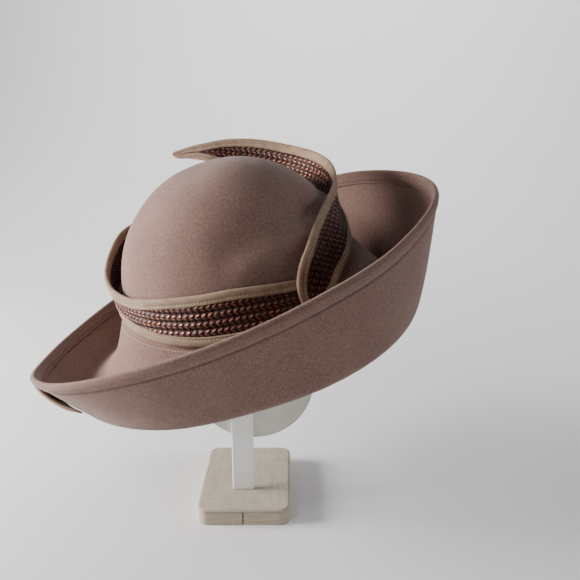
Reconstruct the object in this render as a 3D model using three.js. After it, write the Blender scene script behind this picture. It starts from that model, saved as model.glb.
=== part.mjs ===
// A wide brimmed felt hat with a braid band and a free braid collar, tilted on a plain display stand.
// Millimetres, +Z up. Origin: the middle of the base's underside. The hat's long side lies along X.
import * as THREE from "three";

// Felt body. The headline is the stitched seam where the crown meets the brim, an oval round the head.
const headLength = 197;
const headWidth = 168;
const ovalPower = 2.1;
const feltWall = 2.5;
const crownHeight = 127;
const crownStraight = 11;
const domePower = 2.16;
const seamSpread = 30;
const seamRise = 16;
const brimDrop = 42;
const brimReach = 86;
const brimUpturn = 74;
const hemWidth = 12;
const hemFold = 2;

// Braid strips and the bias binding folded over their edges.
const braidThickness = 1.2;
const bindingCloth = 1;
const bindingWidth = 8;
const bandFlare = 24;

// Small leaf of braid outside the brim's low end.
const leafWidth = 24;
const leafFlare = 1.6;

// Gap kept between pieces that touch on the real hat.
const seatGap = 0.3;

// Ease between the trim and the felt that it lies round.
const trimEase = 0.7;

// How the hat sits: its headline centre and its lean, left end down and front down.
const hatAcross = 1.4;
const hatBack = 14.4;
const hatLift = 178.6;
const leanLeft = 12.5;
const leanFront = 7.5;

// Stand: a covered base, a flat post and a plate with round ends that carries the crown from inside.
const baseWidth = 80;
const baseDepth = 108;
const baseThickness = 15;
const baseCorner = 9;
const baseEdge = 2;
const postWidth = 19;
const postThickness = 4;
const postInset = 31;
const postAcross = -1.5;
const postShare = 0.6;
const plateWidth = 104;
const plateThickness = 3;
const plateAcross = 8;
const plateFoot = 64;

// Colours seen in the photograph.
const feltColor = 0x8c766e;
const braidColor = 0x4a2a20;
const bindingColor = 0xb9a58f;
const linenColor = 0xaa9e8e;
const postColor = 0xd6d4d2;
const plateColor = 0xc9c6bb;

// Brim and lower crown by turn round the hat, 0 at the right end, 90 at the far side, 180 at the left end.
// spread: how far the seam stands out from the head oval, share of seamSpread
// seam: height of the seam, share of seamRise
// flare: height where the crown wall starts to spread, share of crownHeight
// trough, drop: place of the brim's lowest line, shares of brimReach and brimDrop
// reach, upturn: place of the rim, shares of brimReach and brimUpturn
const brimRows = [
  { turn: 0, spread: 1.0, seam: 0.0, flare: 0.39, trough: 0.5, drop: 0.6, reach: 0.88, upturn: 0.92 },
  { turn: 30, spread: 0.6, seam: 0.0, flare: 0.33, trough: 0.45, drop: 0.66, reach: 0.66, upturn: 1.0 },
  { turn: 60, spread: 0.33, seam: 0.1, flare: 0.27, trough: 0.4, drop: 0.72, reach: 0.51, upturn: 0.89 },
  { turn: 90, spread: 0.2, seam: 0.25, flare: 0.22, trough: 0.4, drop: 0.76, reach: 0.51, upturn: 0.65 },
  { turn: 120, spread: 0.2, seam: 0.5, flare: 0.22, trough: 0.45, drop: 0.8, reach: 0.58, upturn: 0.35 },
  { turn: 150, spread: 0.2, seam: 0.75, flare: 0.2, trough: 0.53, drop: 0.84, reach: 0.74, upturn: 0.03 },
  { turn: 180, spread: 0.2, seam: 0.9, flare: 0.2, trough: 0.57, drop: 0.86, reach: 1.01, upturn: -0.15 },
  { turn: 210, spread: 0.2, seam: 0.85, flare: 0.19, trough: 0.57, drop: 0.88, reach: 0.98, upturn: 0.04 },
  { turn: 240, spread: 0.17, seam: 0.4, flare: 0.17, trough: 0.5, drop: 0.92, reach: 0.77, upturn: 0.28 },
  { turn: 270, spread: 0.17, seam: 0.12, flare: 0.16, trough: 0.42, drop: 0.81, reach: 0.58, upturn: 0.43 },
  { turn: 300, spread: 0.25, seam: 0.0, flare: 0.21, trough: 0.42, drop: 0.74, reach: 0.49, upturn: 0.54 },
  { turn: 330, spread: 0.6, seam: 0.0, flare: 0.31, trough: 0.45, drop: 0.66, reach: 0.61, upturn: 0.68 },
];

// Hollows and ridges pressed into the crown, each along a line from one turn and height to another.
// heights are shares of crownHeight, width and depth shares of crownHeight, a ridge has a negative depth
const crownDents = [
  { turn: 272, height: 0.62, toTurn: 322, toHeight: 0.76, width: 0.13, depth: 0.03 },
  { turn: 276, height: 0.42, toTurn: 318, toHeight: 0.6, width: 0.1, depth: -0.012 },
  { turn: 205, height: 0.85, toTurn: 225, toHeight: 0.97, width: 0.2, depth: 0.03 },
];

// The braid band, from behind the right end round the left to the near right.
// low, high: heights of the two bound edges, shares of crownHeight
// out: how far the upper edge stands off; belly: how far the middle bulges, shares of bandFlare
const bandRows = [
  { turn: 28, low: 0.09, high: 0.2, out: 0, belly: 0 },
  { turn: 45, low: 0.09, high: 0.33, out: 0, belly: 0 },
  { turn: 65, low: 0.11, high: 0.41, out: 0, belly: 0 },
  { turn: 90, low: 0.17, high: 0.48, out: 0.08, belly: 0 },
  { turn: 120, low: 0.26, high: 0.58, out: 0.35, belly: 0.05 },
  { turn: 140, low: 0.3, high: 0.62, out: 0.7, belly: 0.05 },
  { turn: 155, low: 0.3, high: 0.61, out: 0.85, belly: 0.05 },
  { turn: 171, low: 0.26, high: 0.54, out: 0.6, belly: 0.05 },
  { turn: 186, low: 0.22, high: 0.45, out: 0.45, belly: 0.05 },
  { turn: 195, low: 0.19, high: 0.4, out: 0.3, belly: 0.03 },
  { turn: 204, low: 0.17, high: 0.37, out: 0.12, belly: 0.02 },
  { turn: 214, low: 0.15, high: 0.36, out: 0.03, belly: 0 },
  { turn: 236, low: 0.09, high: 0.37, out: 0, belly: 0 },
  { turn: 255, low: 0.06, high: 0.37, out: 0, belly: 0 },
  { turn: 275, low: 0.05, high: 0.365, out: 0, belly: 0 },
  { turn: 306, low: 0.04, high: 0.31, out: 0, belly: 0 },
];

// The collar, a long leaf of braid that climbs the right end and stands free behind the crown.
// A row for each step of its length, from its low end to its tip.
// low, high: heights of the lower and the upper edge, shares of crownHeight
// lowIn, highIn: their distance from the hat's axis, shares of the head oval, and never inside the crown wall
const collarRows = [
  { lowTurn: 311, low: 0.12, lowIn: 0.9, highTurn: 301, high: 0.17, highIn: 0.97 },
  { lowTurn: 316.5, low: 0.16, lowIn: 0.9, highTurn: 301, high: 0.27, highIn: 0.97 },
  { lowTurn: 322.5, low: 0.2, lowIn: 0.9, highTurn: 303.5, high: 0.36, highIn: 0.97 },
  { lowTurn: 330, low: 0.25, lowIn: 0.9, highTurn: 308, high: 0.435, highIn: 0.95 },
  { lowTurn: 340, low: 0.3, lowIn: 0.9, highTurn: 315, high: 0.5, highIn: 0.93 },
  { lowTurn: 350, low: 0.35, lowIn: 0.9, highTurn: 324, high: 0.56, highIn: 0.91 },
  { lowTurn: 357, low: 0.41, lowIn: 0.95, highTurn: 335, high: 0.615, highIn: 0.89 },
  { lowTurn: 362, low: 0.455, lowIn: 0.98, highTurn: 348, high: 0.655, highIn: 0.9 },
  { lowTurn: 369, low: 0.5, lowIn: 0.95, highTurn: 362, high: 0.7, highIn: 0.96 },
  { lowTurn: 380, low: 0.55, lowIn: 0.91, highTurn: 374, high: 0.765, highIn: 1.01 },
  { lowTurn: 395, low: 0.6, lowIn: 0.89, highTurn: 389, high: 0.83, highIn: 1.04 },
  { lowTurn: 412, low: 0.67, lowIn: 0.87, highTurn: 408.5, high: 0.91, highIn: 1.03 },
  { lowTurn: 428, low: 0.75, lowIn: 0.86, highTurn: 427, high: 0.985, highIn: 1.01 },
  { lowTurn: 443, low: 0.84, lowIn: 0.85, highTurn: 444, high: 1.025, highIn: 1.0 },
  { lowTurn: 456, low: 0.915, lowIn: 0.87, highTurn: 457, high: 1.035, highIn: 1.0 },
  { lowTurn: 467, low: 0.965, lowIn: 0.95, highTurn: 468, high: 1.038, highIn: 1.03 },
  { lowTurn: 475, low: 1.0, lowIn: 1.04, highTurn: 476.5, high: 1.02, highIn: 1.06 },
];

// The leaf on the brim's outside, round its low left end.
// top: upper edge, share of the way from the seam to the rim; width, out: shares of leafWidth and leafFlare
const leafRows = [
  { turn: 162, top: 0.84, width: 0.35, out: 0 },
  { turn: 174, top: 0.9, width: 0.85, out: 0 },
  { turn: 186, top: 0.93, width: 1.0, out: 0.2 },
  { turn: 198, top: 0.925, width: 0.95, out: 0.6 },
  { turn: 207, top: 0.9, width: 0.8, out: 0.8 },
  { turn: 214, top: 0.86, width: 0.45, out: 0.4 },
];

// How finely the round pieces are faceted.
const bodyTurns = 54;
const crownRings = 11;
const bandSteps = 46;
const collarSteps = 40;
const leafSteps = 12;

const radians = THREE.MathUtils.degToRad;
const mix = THREE.MathUtils.lerp;

// A smooth curve through one column of a table, by turn where its rows have one and otherwise by row number.
// Periodic tables come round again after 360 degrees.
function column(rows, name, periodic) {
  const place = (i) => rows[i].turn ?? i;
  const at = (i) => {
    if (!periodic) i = THREE.MathUtils.clamp(i, 0, rows.length - 1);
    const lap = Math.floor(i / rows.length);
    const row = i - lap * rows.length;
    return [place(row) + 360 * lap, rows[row][name]];
  };
  return (where) => {
    const t = periodic ? THREE.MathUtils.euclideanModulo(where, 360) : where;
    const before = rows.findLastIndex((_, i) => place(i) <= t);
    const i = THREE.MathUtils.clamp(before, 0, rows.length - (periodic ? 1 : 2));
    const [a, b, c, d] = [at(i - 1), at(i), at(i + 1), at(i + 2)];
    const step = c[0] - b[0];
    const u = THREE.MathUtils.clamp((t - b[0]) / step, 0, 1);
    const slopeB = ((c[1] - a[1]) / (c[0] - a[0])) * step;
    const slopeC = ((d[1] - b[1]) / (d[0] - b[0])) * step;
    const rise = u * u * (3 - 2 * u);
    return mix(b[1], c[1], rise) + u * (1 - u) * ((1 - u) * slopeB - u * slopeC);
  };
}

// Every column of a table as a function, in one object.
function columns(rows, periodic = false) {
  const names = Object.keys(rows[0]).filter((name) => name !== "turn");
  return Object.fromEntries(names.map((name) => [name, column(rows, name, periodic)]));
}

const brim = columns(brimRows, true);
const band = columns(bandRows);
const collar = columns(collarRows);
const leaf = columns(leafRows);

// Distance from the hat's axis to the outside of the felt along the head oval.
function ovalRadius(turn) {
  const x = Math.abs(Math.cos(radians(turn))) / (headLength / 2 + feltWall);
  const y = Math.abs(Math.sin(radians(turn))) / (headWidth / 2 + feltWall);
  return (x ** ovalPower + y ** ovalPower) ** (-1 / ovalPower);
}

const around = (turn, radius, height) =>
  new THREE.Vector3(Math.cos(radians(turn)) * radius, Math.sin(radians(turn)) * radius, height);

const seamHeight = (turn) => seamRise * brim.seam(turn);

// The share of the oval that the dome keeps at a height above the headline.
function domeShare(height) {
  const z = THREE.MathUtils.clamp((height - crownStraight) / (crownHeight - crownStraight), 0, 1);
  return (1 - z ** domePower) ** (1 / domePower);
}

// How far the lower crown wall spreads outwards into the brim at a height.
function wallSpread(turn, height) {
  const top = brim.flare(turn) * crownHeight;
  const low = seamHeight(turn);
  return seamSpread * brim.spread(turn) * THREE.MathUtils.clamp((top - height) / (top - low), 0, 1) ** 1.5;
}

const crownRadius = (turn, height) => ovalRadius(turn) * domeShare(height) + wallSpread(turn, height);

// How deep the dents press in at a point of the crown.
function dentDepth(point) {
  let depth = 0;
  for (const dent of crownDents) {
    const from = dent.height * crownHeight;
    const to = dent.toHeight * crownHeight;
    const a = around(dent.turn, crownRadius(dent.turn, from), from);
    const b = around(dent.toTurn, crownRadius(dent.toTurn, to), to);
    const near = new THREE.Line3(a, b).closestPointToPoint(point, true, new THREE.Vector3());
    const width = dent.width * crownHeight;
    depth += dent.depth * crownHeight * Math.exp(-((near.distanceTo(point) / width) ** 2));
  }
  return depth;
}

// A point of the crown, rise 0 at the seam and 1 at the top, depth measured into the felt.
function crownPoint(turn, rise, depth) {
  const plain = (r) => {
    const low = seamHeight(turn);
    const wall = 0.25;
    if (r < wall) {
      const height = mix(low, crownStraight + low / 2, r / wall);
      return around(turn, crownRadius(turn, height), height);
    }
    const angle = ((r - wall) / (1 - wall)) * (Math.PI / 2);
    const start = crownStraight + low / 2;
    const startShare = THREE.MathUtils.clamp((start - crownStraight) / (crownHeight - crownStraight), 0, 1);
    const share = mix(startShare ** (domePower / 2), 1, Math.sin(angle)) ** (2 / domePower);
    const height = crownStraight + (crownHeight - crownStraight) * share;
    return around(turn, r > 0.9999 ? 0 : crownRadius(turn, height), height);
  };
  const point = plain(rise);
  const up = plain(Math.min(rise + 0.01, 1)).sub(plain(Math.max(rise - 0.01, 0)));
  const side = around(turn + 90, 1, 0);
  const outward = rise > 0.9999 ? new THREE.Vector3(0, 0, 1) : side.cross(up).normalize();
  return point.addScaledVector(outward, -depth - dentDepth(point));
}

// The brim's section at a turn: a smooth curve from the seam down through the trough and up to the rim.
function brimCurve(turn) {
  const seam = [seamSpread * brim.spread(turn), seamHeight(turn)];
  const trough = [brimReach * brim.trough(turn), -brimDrop * brim.drop(turn)];
  const rim = [brimReach * brim.reach(turn), brimUpturn * brim.upturn(turn)];
  const fall = seam[1] - trough[1];
  const points = [
    seam,
    [mix(seam[0], trough[0], 0.42), mix(seam[1], trough[1], 0.5) - 0.15 * fall],
    trough,
    [mix(trough[0], rim[0], 0.4), mix(trough[1], rim[1], 0.3)],
    rim,
  ];
  return new THREE.SplineCurve(points.map(([out, height]) => new THREE.Vector2(out, height)));
}

// A point of the brim: share runs from the seam to the rim, depth goes down through the felt.
// back moves it against the brim's run, past the seam.
function brimPoint(turn, share, depth, back = 0) {
  const curve = brimCurve(turn);
  const at = curve.getPointAt(share);
  const along = curve.getTangentAt(share);
  const down = new THREE.Vector2(along.y, -along.x);
  at.addScaledVector(down, depth).addScaledVector(along, -back);
  return around(turn, ovalRadius(turn) + at.x, at.y);
}

// A closed solid swept through rows of points, each a closed outline, capped at its ends unless it is a ring.
function sweep(rows, ring) {
  const across = rows[0].length;
  const triangles = [];
  const add = (a, b, c) => {
    if (a.distanceTo(b) > 1e-4 && b.distanceTo(c) > 1e-4 && c.distanceTo(a) > 1e-4) triangles.push([a, b, c]);
  };
  const last = ring ? rows.length : rows.length - 1;
  for (let i = 0; i < last; i++) {
    const [now, next] = [rows[i], rows[(i + 1) % rows.length]];
    for (let j = 0; j < across; j++) {
      const k = (j + 1) % across;
      add(now[j], now[k], next[k]);
      add(now[j], next[k], next[j]);
    }
  }
  if (!ring) {
    cap(rows[0]).forEach(([a, b, c]) => add(a, c, b));
    cap(rows.at(-1)).forEach(([a, b, c]) => add(a, b, c));
  }
  const volume = triangles.reduce((sum, [a, b, c]) => sum + a.dot(b.clone().cross(c)), 0);
  const corners = triangles.flatMap(([a, b, c]) => (volume > 0 ? [a, b, c] : [a, c, b]));
  const geometry = new THREE.BufferGeometry().setFromPoints(corners);
  geometry.computeVertexNormals();
  return geometry;
}

// Triangles that fill a closed outline of points, in the outline's own direction.
function cap(outline) {
  const normal = new THREE.Vector3();
  outline.forEach((point, i) => normal.add(point.clone().cross(outline[(i + 1) % outline.length])));
  const x = outline[1].clone().sub(outline[0]).cross(normal).normalize();
  const y = normal.clone().cross(x).normalize();
  const flat = outline.map((point) => new THREE.Vector2(point.dot(x), point.dot(y)));
  return THREE.ShapeUtils.triangulateShape(flat, []).map((face) => face.map((i) => outline[i]));
}

function piece(name, geometry, color, roughness, metalness = 0) {
  const material = new THREE.MeshStandardMaterial({ color, roughness, metalness });
  const mesh = new THREE.Mesh(geometry, material);
  mesh.name = name;
  return mesh;
}

const steps = (count, from, to) => Array.from({ length: count + 1 }, (_, i) => mix(from, to, i / count));

// Crown: one blocked felt shell, open below.
function crownGeometry() {
  const rises = steps(crownRings, 0, 1).slice(1);
  const rows = steps(bodyTurns, 0, 360).slice(0, -1).map((turn) => [
    brimPoint(turn, 0, 0, seatGap),
    ...rises.map((rise) => crownPoint(turn, rise, 0)),
    ...rises.toReversed().map((rise) => crownPoint(turn, rise, feltWall)),
    brimPoint(turn, 0, feltWall, seatGap),
  ]);
  return sweep(rows, true);
}

// Brim: one felt shell, its edge turned over inwards into a hem of double felt.
function brimGeometry() {
  const rows = steps(bodyTurns, 0, 360).slice(0, -1).map((turn) => {
    const length = brimCurve(turn).getLength();
    const hem = 1 - hemWidth / length;
    const soft = 1 - (feltWall + hemFold) / 2 / length;
    const inside = steps(6, 0, hem);
    return [
      ...inside.map((share) => brimPoint(turn, share, 0)),
      brimPoint(turn, hem, -hemFold),
      brimPoint(turn, soft, -hemFold),
      brimPoint(turn, 1, -hemFold / 2),
      brimPoint(turn, 1, feltWall / 2),
      brimPoint(turn, soft, feltWall),
      ...inside.toReversed().map((share) => brimPoint(turn, share, feltWall)),
    ];
  });
  return sweep(rows, true);
}

// Half the thickness of a bound edge, and the distance from the binding's outline to the braid's own edge.
const boundHalf = braidThickness / 2 + seatGap + bindingCloth;
const bindingLip = seatGap + bindingCloth;

// Distance from the hat's axis to the middle of a bound strip that lies round the crown wall.
function trimRadius(turn, height) {
  const lean = (crownRadius(turn, height - 1) - crownRadius(turn, height + 1)) / 2;
  return crownRadius(turn, height) + (boundHalf + seatGap + trimEase) * Math.hypot(1, lean);
}

// A point of the band at a turn, across from 0 at its lower outline to 1 at its upper one.
function bandPoint(turn, across) {
  const height = crownHeight * mix(band.low(turn), band.high(turn), across);
  const standOff = bandFlare * (band.out(turn) * across + band.belly(turn) * 4 * across * (1 - across));
  const low = crownHeight * band.low(turn);
  const high = crownHeight * band.high(turn);
  const chord = mix(trimRadius(turn, low), trimRadius(turn, high), across);
  return around(turn, Math.max(chord, trimRadius(turn, height)) + standOff, height);
}

// The larger of two lengths, with a soft passage from one to the other.
const softMax = (a, b) => (a + b + Math.hypot(a - b, 2)) / 2;

// A point of the collar, across from its lower outline to its upper one.
function collarPoint(run, across) {
  const turn = mix(collar.lowTurn(run), collar.highTurn(run), across);
  const height = crownHeight * mix(collar.low(run), collar.high(run), across);
  const bandEnd = bandRows.at(-1).turn;
  const overBand = 1 - THREE.MathUtils.smoothstep(turn, bandEnd + 3, bandEnd + 20);
  const lap = (2 * boundHalf + seatGap + trimEase) * overBand;
  const wall = trimRadius(turn, height) + lap;
  const free = ovalRadius(turn) * mix(collar.lowIn(run), collar.highIn(run), across);
  return around(turn, softMax(free, wall), height);
}

// A point of the leaf that lies against the brim's outside.
function leafPoint(turn, across) {
  const length = brimCurve(turn).getLength();
  const top = leaf.top(turn);
  const share = top - (leafWidth * leaf.width(turn) * (1 - across)) / length;
  const bulge = 0.25 + 0.75 * Math.sin(Math.PI * across);
  const depth = feltWall + boundHalf + seatGap + leafFlare * leaf.out(turn) * bulge;
  return brimPoint(turn, share, depth);
}

// The frame of a strip at a turn: points along it and the direction across and through it.
function stripFrame(point, turn, across) {
  const width = point(turn, 1).distanceTo(point(turn, 0));
  const nudge = 0.02;
  const along = point(turn + nudge, across).sub(point(turn - nudge, across)).normalize();
  const low = Math.max(across - nudge, 0);
  const high = Math.min(across + nudge, 1);
  const wide = point(turn, high).sub(point(turn, low)).normalize();
  const through = along.clone().cross(wide).normalize();
  return { at: point(turn, across), wide, through, width };
}

// How far a binding reaches in over its strip, from its outline.
const bindingReach = (width) => Math.min(bindingWidth, width / 2 - seatGap);

// The braid of a strip: a thin wall between the two bindings' lips.
function braidGeometry(point, turns) {
  const rows = turns.map((turn) => {
    const { width } = stripFrame(point, turn, 0.5);
    const lip = Math.min(bindingLip / width, 0.4);
    const reach = bindingReach(width) / width;
    const stations = [lip, reach, 0.5, 1 - reach, 1 - lip];
    const side = (half) => stations.map((across) => {
      const frame = stripFrame(point, turn, across);
      return frame.at.addScaledVector(frame.through, half);
    });
    return [...side(braidThickness / 2), ...side(-braidThickness / 2).toReversed()];
  });
  return sweep(rows, false);
}

// The binding over one edge of a strip, 0 the lower and 1 the upper: cloth folded round the braid's edge.
function bindingGeometry(point, turns, edge) {
  const rows = turns.map((turn) => {
    const { width } = stripFrame(point, turn, 0.5);
    const reach = bindingReach(width);
    const slot = braidThickness / 2 + seatGap;
    const soft = bindingCloth * 0.7;
    const outline = [
      [reach, slot],
      [reach, boundHalf],
      [soft, boundHalf],
      [0, slot],
      [0, -slot],
      [soft, -boundHalf],
      [reach, -boundHalf],
      [reach, -slot],
      [bindingCloth, -slot],
      [bindingCloth, slot],
    ];
    return outline.map(([inward, through]) => {
      const across = edge === 0 ? inward / width : 1 - inward / width;
      const frame = stripFrame(point, turn, across);
      return frame.at.addScaledVector(frame.through, edge === 0 ? through : -through);
    });
  });
  return sweep(rows, false);
}

const bandTurns = steps(bandSteps, bandRows[0].turn, bandRows.at(-1).turn);
const collarTurns = steps(collarSteps, 0, collarRows.length - 1);
const leafTurns = steps(leafSteps, leafRows[0].turn, leafRows.at(-1).turn);

const hat = new THREE.Group();
hat.position.set(hatAcross, hatBack, hatLift);
hat.rotation.set(radians(leanFront), radians(-leanLeft), 0, "YXZ");
hat.add(
  piece("crown", crownGeometry(), feltColor, 0.95),
  piece("brim", brimGeometry(), feltColor, 0.95),
  piece("band_braid", braidGeometry(bandPoint, bandTurns), braidColor, 0.45, 0.5),
  piece("band_lower_binding", bindingGeometry(bandPoint, bandTurns, 0), bindingColor, 0.8),
  piece("band_upper_binding", bindingGeometry(bandPoint, bandTurns, 1), bindingColor, 0.8),
  piece("collar_braid", braidGeometry(collarPoint, collarTurns), braidColor, 0.45, 0.5),
  piece("collar_lower_binding", bindingGeometry(collarPoint, collarTurns, 0), bindingColor, 0.8),
  piece("collar_upper_binding", bindingGeometry(collarPoint, collarTurns, 1), bindingColor, 0.8),
  piece("leaf_braid", braidGeometry(leafPoint, leafTurns), braidColor, 0.45, 0.5),
  piece("leaf_lower_binding", bindingGeometry(leafPoint, leafTurns, 0), bindingColor, 0.8),
  piece("leaf_upper_binding", bindingGeometry(leafPoint, leafTurns, 1), bindingColor, 0.8),
);

// Base: a block with rounded corners and softened edges.
function baseGeometry() {
  const [x, y] = [baseWidth / 2 - baseEdge, baseDepth / 2 - baseEdge];
  const corner = baseCorner - baseEdge;
  const outline = new THREE.Shape();
  outline.absarc(x - corner, y - corner, corner, 0, Math.PI / 2);
  outline.absarc(corner - x, y - corner, corner, Math.PI / 2, Math.PI);
  outline.absarc(corner - x, corner - y, corner, Math.PI, 1.5 * Math.PI);
  outline.absarc(x - corner, corner - y, corner, 1.5 * Math.PI, 2 * Math.PI);
  const block = new THREE.ExtrudeGeometry(outline, {
    depth: baseThickness - 2 * baseEdge,
    bevelThickness: baseEdge,
    bevelSize: baseEdge,
    bevelSegments: 2,
    curveSegments: 6,
  });
  return block.translate(0, 0, baseEdge);
}

const postFront = postInset - baseDepth / 2;
const plateFront = postFront + postThickness + seatGap;

// Height at which the plate's round top meets the inside of the crown.
function plateTop() {
  hat.updateMatrixWorld(true);
  const crown = hat.getObjectByName("crown");
  const radius = plateWidth / 2;
  const tops = steps(24, -0.95, 0.95).flatMap((share) => {
    const dip = radius * (1 - Math.sqrt(1 - share ** 2));
    return [0, plateThickness].map((back) => {
      const from = new THREE.Vector3(plateAcross + share * radius, plateFront + back, hatLift);
      const hit = new THREE.Raycaster(from, new THREE.Vector3(0, 0, 1)).intersectObject(crown)[0];
      return hit.point.z + dip;
    });
  });
  return Math.min(...tops) - seatGap;
}

// Plate: a flat board whose two ends are half circles.
function plateGeometry(top) {
  const radius = plateWidth / 2;
  const outline = new THREE.Shape();
  outline.absarc(0, top - radius, radius, 0, Math.PI);
  outline.absarc(0, plateFoot + radius, radius, Math.PI, 2 * Math.PI);
  const depth = plateThickness;
  const board = new THREE.ExtrudeGeometry(outline, { depth, bevelEnabled: false, curveSegments: 16 });
  return board.rotateX(Math.PI / 2).translate(plateAcross, plateFront + plateThickness, 0);
}

const top = plateTop();
const postTop = mix(plateFoot, top, postShare);
const postFoot = baseThickness + seatGap;
const post = new THREE.BoxGeometry(postWidth, postThickness, postTop - postFoot);
post.translate(postAcross, postFront + postThickness / 2, (postTop + postFoot) / 2);

const stand = new THREE.Group();
stand.add(
  piece("stand_base", baseGeometry(), linenColor, 0.9),
  piece("stand_post", post, postColor, 0.35),
  piece("stand_plate", plateGeometry(top), plateColor, 0.5),
);

const hatOnStand = new THREE.Group();
hatOnStand.add(hat, stand);

export default hatOnStand;
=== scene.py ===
from bisect import bisect_right
from functools import cache
from math import cos, exp, hypot, pi, radians, sin

import bmesh
import bpy
from mathutils import Matrix, Vector


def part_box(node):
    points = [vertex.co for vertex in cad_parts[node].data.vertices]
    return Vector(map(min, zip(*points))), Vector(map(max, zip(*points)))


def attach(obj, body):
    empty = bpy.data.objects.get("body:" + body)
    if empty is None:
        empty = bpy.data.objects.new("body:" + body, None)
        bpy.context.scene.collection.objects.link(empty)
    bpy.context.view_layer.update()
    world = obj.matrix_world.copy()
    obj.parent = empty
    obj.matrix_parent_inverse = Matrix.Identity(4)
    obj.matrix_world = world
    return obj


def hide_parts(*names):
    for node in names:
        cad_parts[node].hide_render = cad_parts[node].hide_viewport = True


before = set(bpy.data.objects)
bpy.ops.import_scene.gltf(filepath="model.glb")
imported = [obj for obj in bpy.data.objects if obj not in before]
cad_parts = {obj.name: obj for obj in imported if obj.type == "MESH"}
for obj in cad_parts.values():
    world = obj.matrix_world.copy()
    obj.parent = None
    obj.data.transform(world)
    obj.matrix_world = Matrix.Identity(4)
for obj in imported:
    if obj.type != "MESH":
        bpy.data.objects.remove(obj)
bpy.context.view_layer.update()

# Camera and light: the camera stands in front of the hat and a little above it, and looks slightly down.
# Soft daylight comes from a broad window on the left, with weaker light from above, the front and the right,
# in a pale room.
camera = bpy.data.objects.new("camera", bpy.data.cameras.new("camera"))
camera.data.sensor_width = 36
camera.data.lens = 38.5
camera.location = (0.040, -0.515, 0.326)
camera.rotation_euler = (radians(75.53), 0, 0)
bpy.context.scene.collection.objects.link(camera)
bpy.context.scene.camera = camera


def area_light(name, place, aim, size, power, color):
    lamp = bpy.data.lights.new(name, "AREA")
    lamp.shape = "RECTANGLE"
    lamp.size, lamp.size_y = size
    lamp.energy = power
    lamp.color = color
    light = bpy.data.objects.new(name, lamp)
    light.location = place
    light.rotation_euler = (Vector(aim) - Vector(place)).to_track_quat("-Z", "Y").to_euler()
    bpy.context.scene.collection.objects.link(light)


area_light("window", (-1.3, -0.05, 0.47), (0, 0, 0.2), (0.6, 0.5), 60, (1.0, 0.97, 0.94))
area_light("window pane", (-0.85, -0.8, 0.42), (0, 0, 0.3), (0.2, 0.35), 1.3, (1.0, 0.96, 0.92))
area_light("window sky", (-0.5, -0.75, 1.05), (0, 0, 0.3), (0.3, 0.3), 3.4, (0.98, 0.98, 1.0))
area_light("room", (1.35, -0.25, 0.33), (0, 0, 0.2), (0.5, 0.5), 7.5, (0.97, 0.98, 1.0))
area_light("backdrop light", (0.45, 0.75, 1.5), (0.5, 1.9, 0.5), (1.8, 0.5), 28, (0.98, 0.99, 1.0))

world = bpy.data.worlds.new("pale room")
bpy.context.scene.world = world
world.use_nodes = True
world.node_tree.nodes["Background"].inputs["Color"].default_value = (0.72, 0.73, 0.74, 1)
world.node_tree.nodes["Background"].inputs["Strength"].default_value = 0.04


# Felt body: wool felt blocked to shape, the crown and the brim joined at a stitched seam under the band.
# These functions give its form: an oval head, a dome, a wall that spreads into the brim, and the brim.
class Socket:
    """A node's output, or a plain value, that Python arithmetic turns into Math nodes."""

    def __init__(self, look, output):
        self.look, self.output = look, output

    def math(self, operation, *values):
        return self.look.node("ShaderNodeMath", {"operation": operation}, *values)

    def __add__(self, other): return self.math("ADD", self, other)
    def __radd__(self, other): return self.math("ADD", other, self)
    def __sub__(self, other): return self.math("SUBTRACT", self, other)
    def __rsub__(self, other): return self.math("SUBTRACT", other, self)
    def __mul__(self, other): return self.math("MULTIPLY", self, other)
    def __rmul__(self, other): return self.math("MULTIPLY", other, self)
    def __pow__(self, other): return self.math("POWER", self, other)
    def floor(self): return self.math("FLOOR", self)
    def fract(self): return self.math("FRACT", self)
    def abs(self): return self.math("ABSOLUTE", self)
    def sin(self): return self.math("SINE", self)

    def smooth(self, low, high):
        ends = {"From Min": low, "From Max": high}
        return self.look.node("ShaderNodeMapRange", {"interpolation_type": "SMOOTHSTEP"}, self, **ends)


class Look:
    """A material with one Principled shader, built from nodes."""

    def __init__(self, name, **constants):
        self.material = bpy.data.materials.new(name)
        self.material.use_nodes = True
        self.tree = self.material.node_tree
        self.shader = self.tree.nodes["Principled BSDF"]
        for socket, value in constants.items():
            self.shader.inputs[socket.replace("_", " ")].default_value = value

    def node(self, kind, settings=None, *values, output=0, **named):
        made = self.tree.nodes.new(kind)
        for key, value in (settings or {}).items():
            setattr(made, key, value)
        for key, value in [*enumerate(values), *named.items()]:
            self.feed(made.inputs[key], value)
        return Socket(self, made.outputs[output])

    def feed(self, socket, value):
        if isinstance(value, Socket):
            self.tree.links.new(value.output, socket)
        else:
            socket.default_value = value

    def set(self, **inputs):
        for socket, value in inputs.items():
            self.feed(self.shader.inputs[socket.replace("_", " ")], value)

    def place(self):
        return self.node("ShaderNodeTexCoord", output="Object")

    def cloth_place(self):
        """The piece's own UV map, in millimetres along and across it."""
        split = self.node("ShaderNodeSeparateXYZ", None, self.node("ShaderNodeTexCoord", output="UV"))
        return split, Socket(self, split.output.node.outputs[1])

    def noise(self, place, scale, detail, roughness=0.6):
        inputs = {"Vector": place, "Scale": scale, "Detail": detail, "Roughness": roughness}
        return self.node("ShaderNodeTexNoise", **inputs)

    def mix(self, share, a, b):
        made = self.tree.nodes.new("ShaderNodeMix")
        made.data_type = "RGBA"
        for key, value in ((0, share), (6, a), (7, b)):
            self.feed(made.inputs[key], value)
        return Socket(self, made.outputs[2])

    def bump(self, height, distance, strength, normal=None):
        made = self.node("ShaderNodeBump", None, Height=height, Distance=distance, Strength=strength)
        if normal:
            self.feed(made.output.node.inputs["Normal"], normal)
        return made


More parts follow.
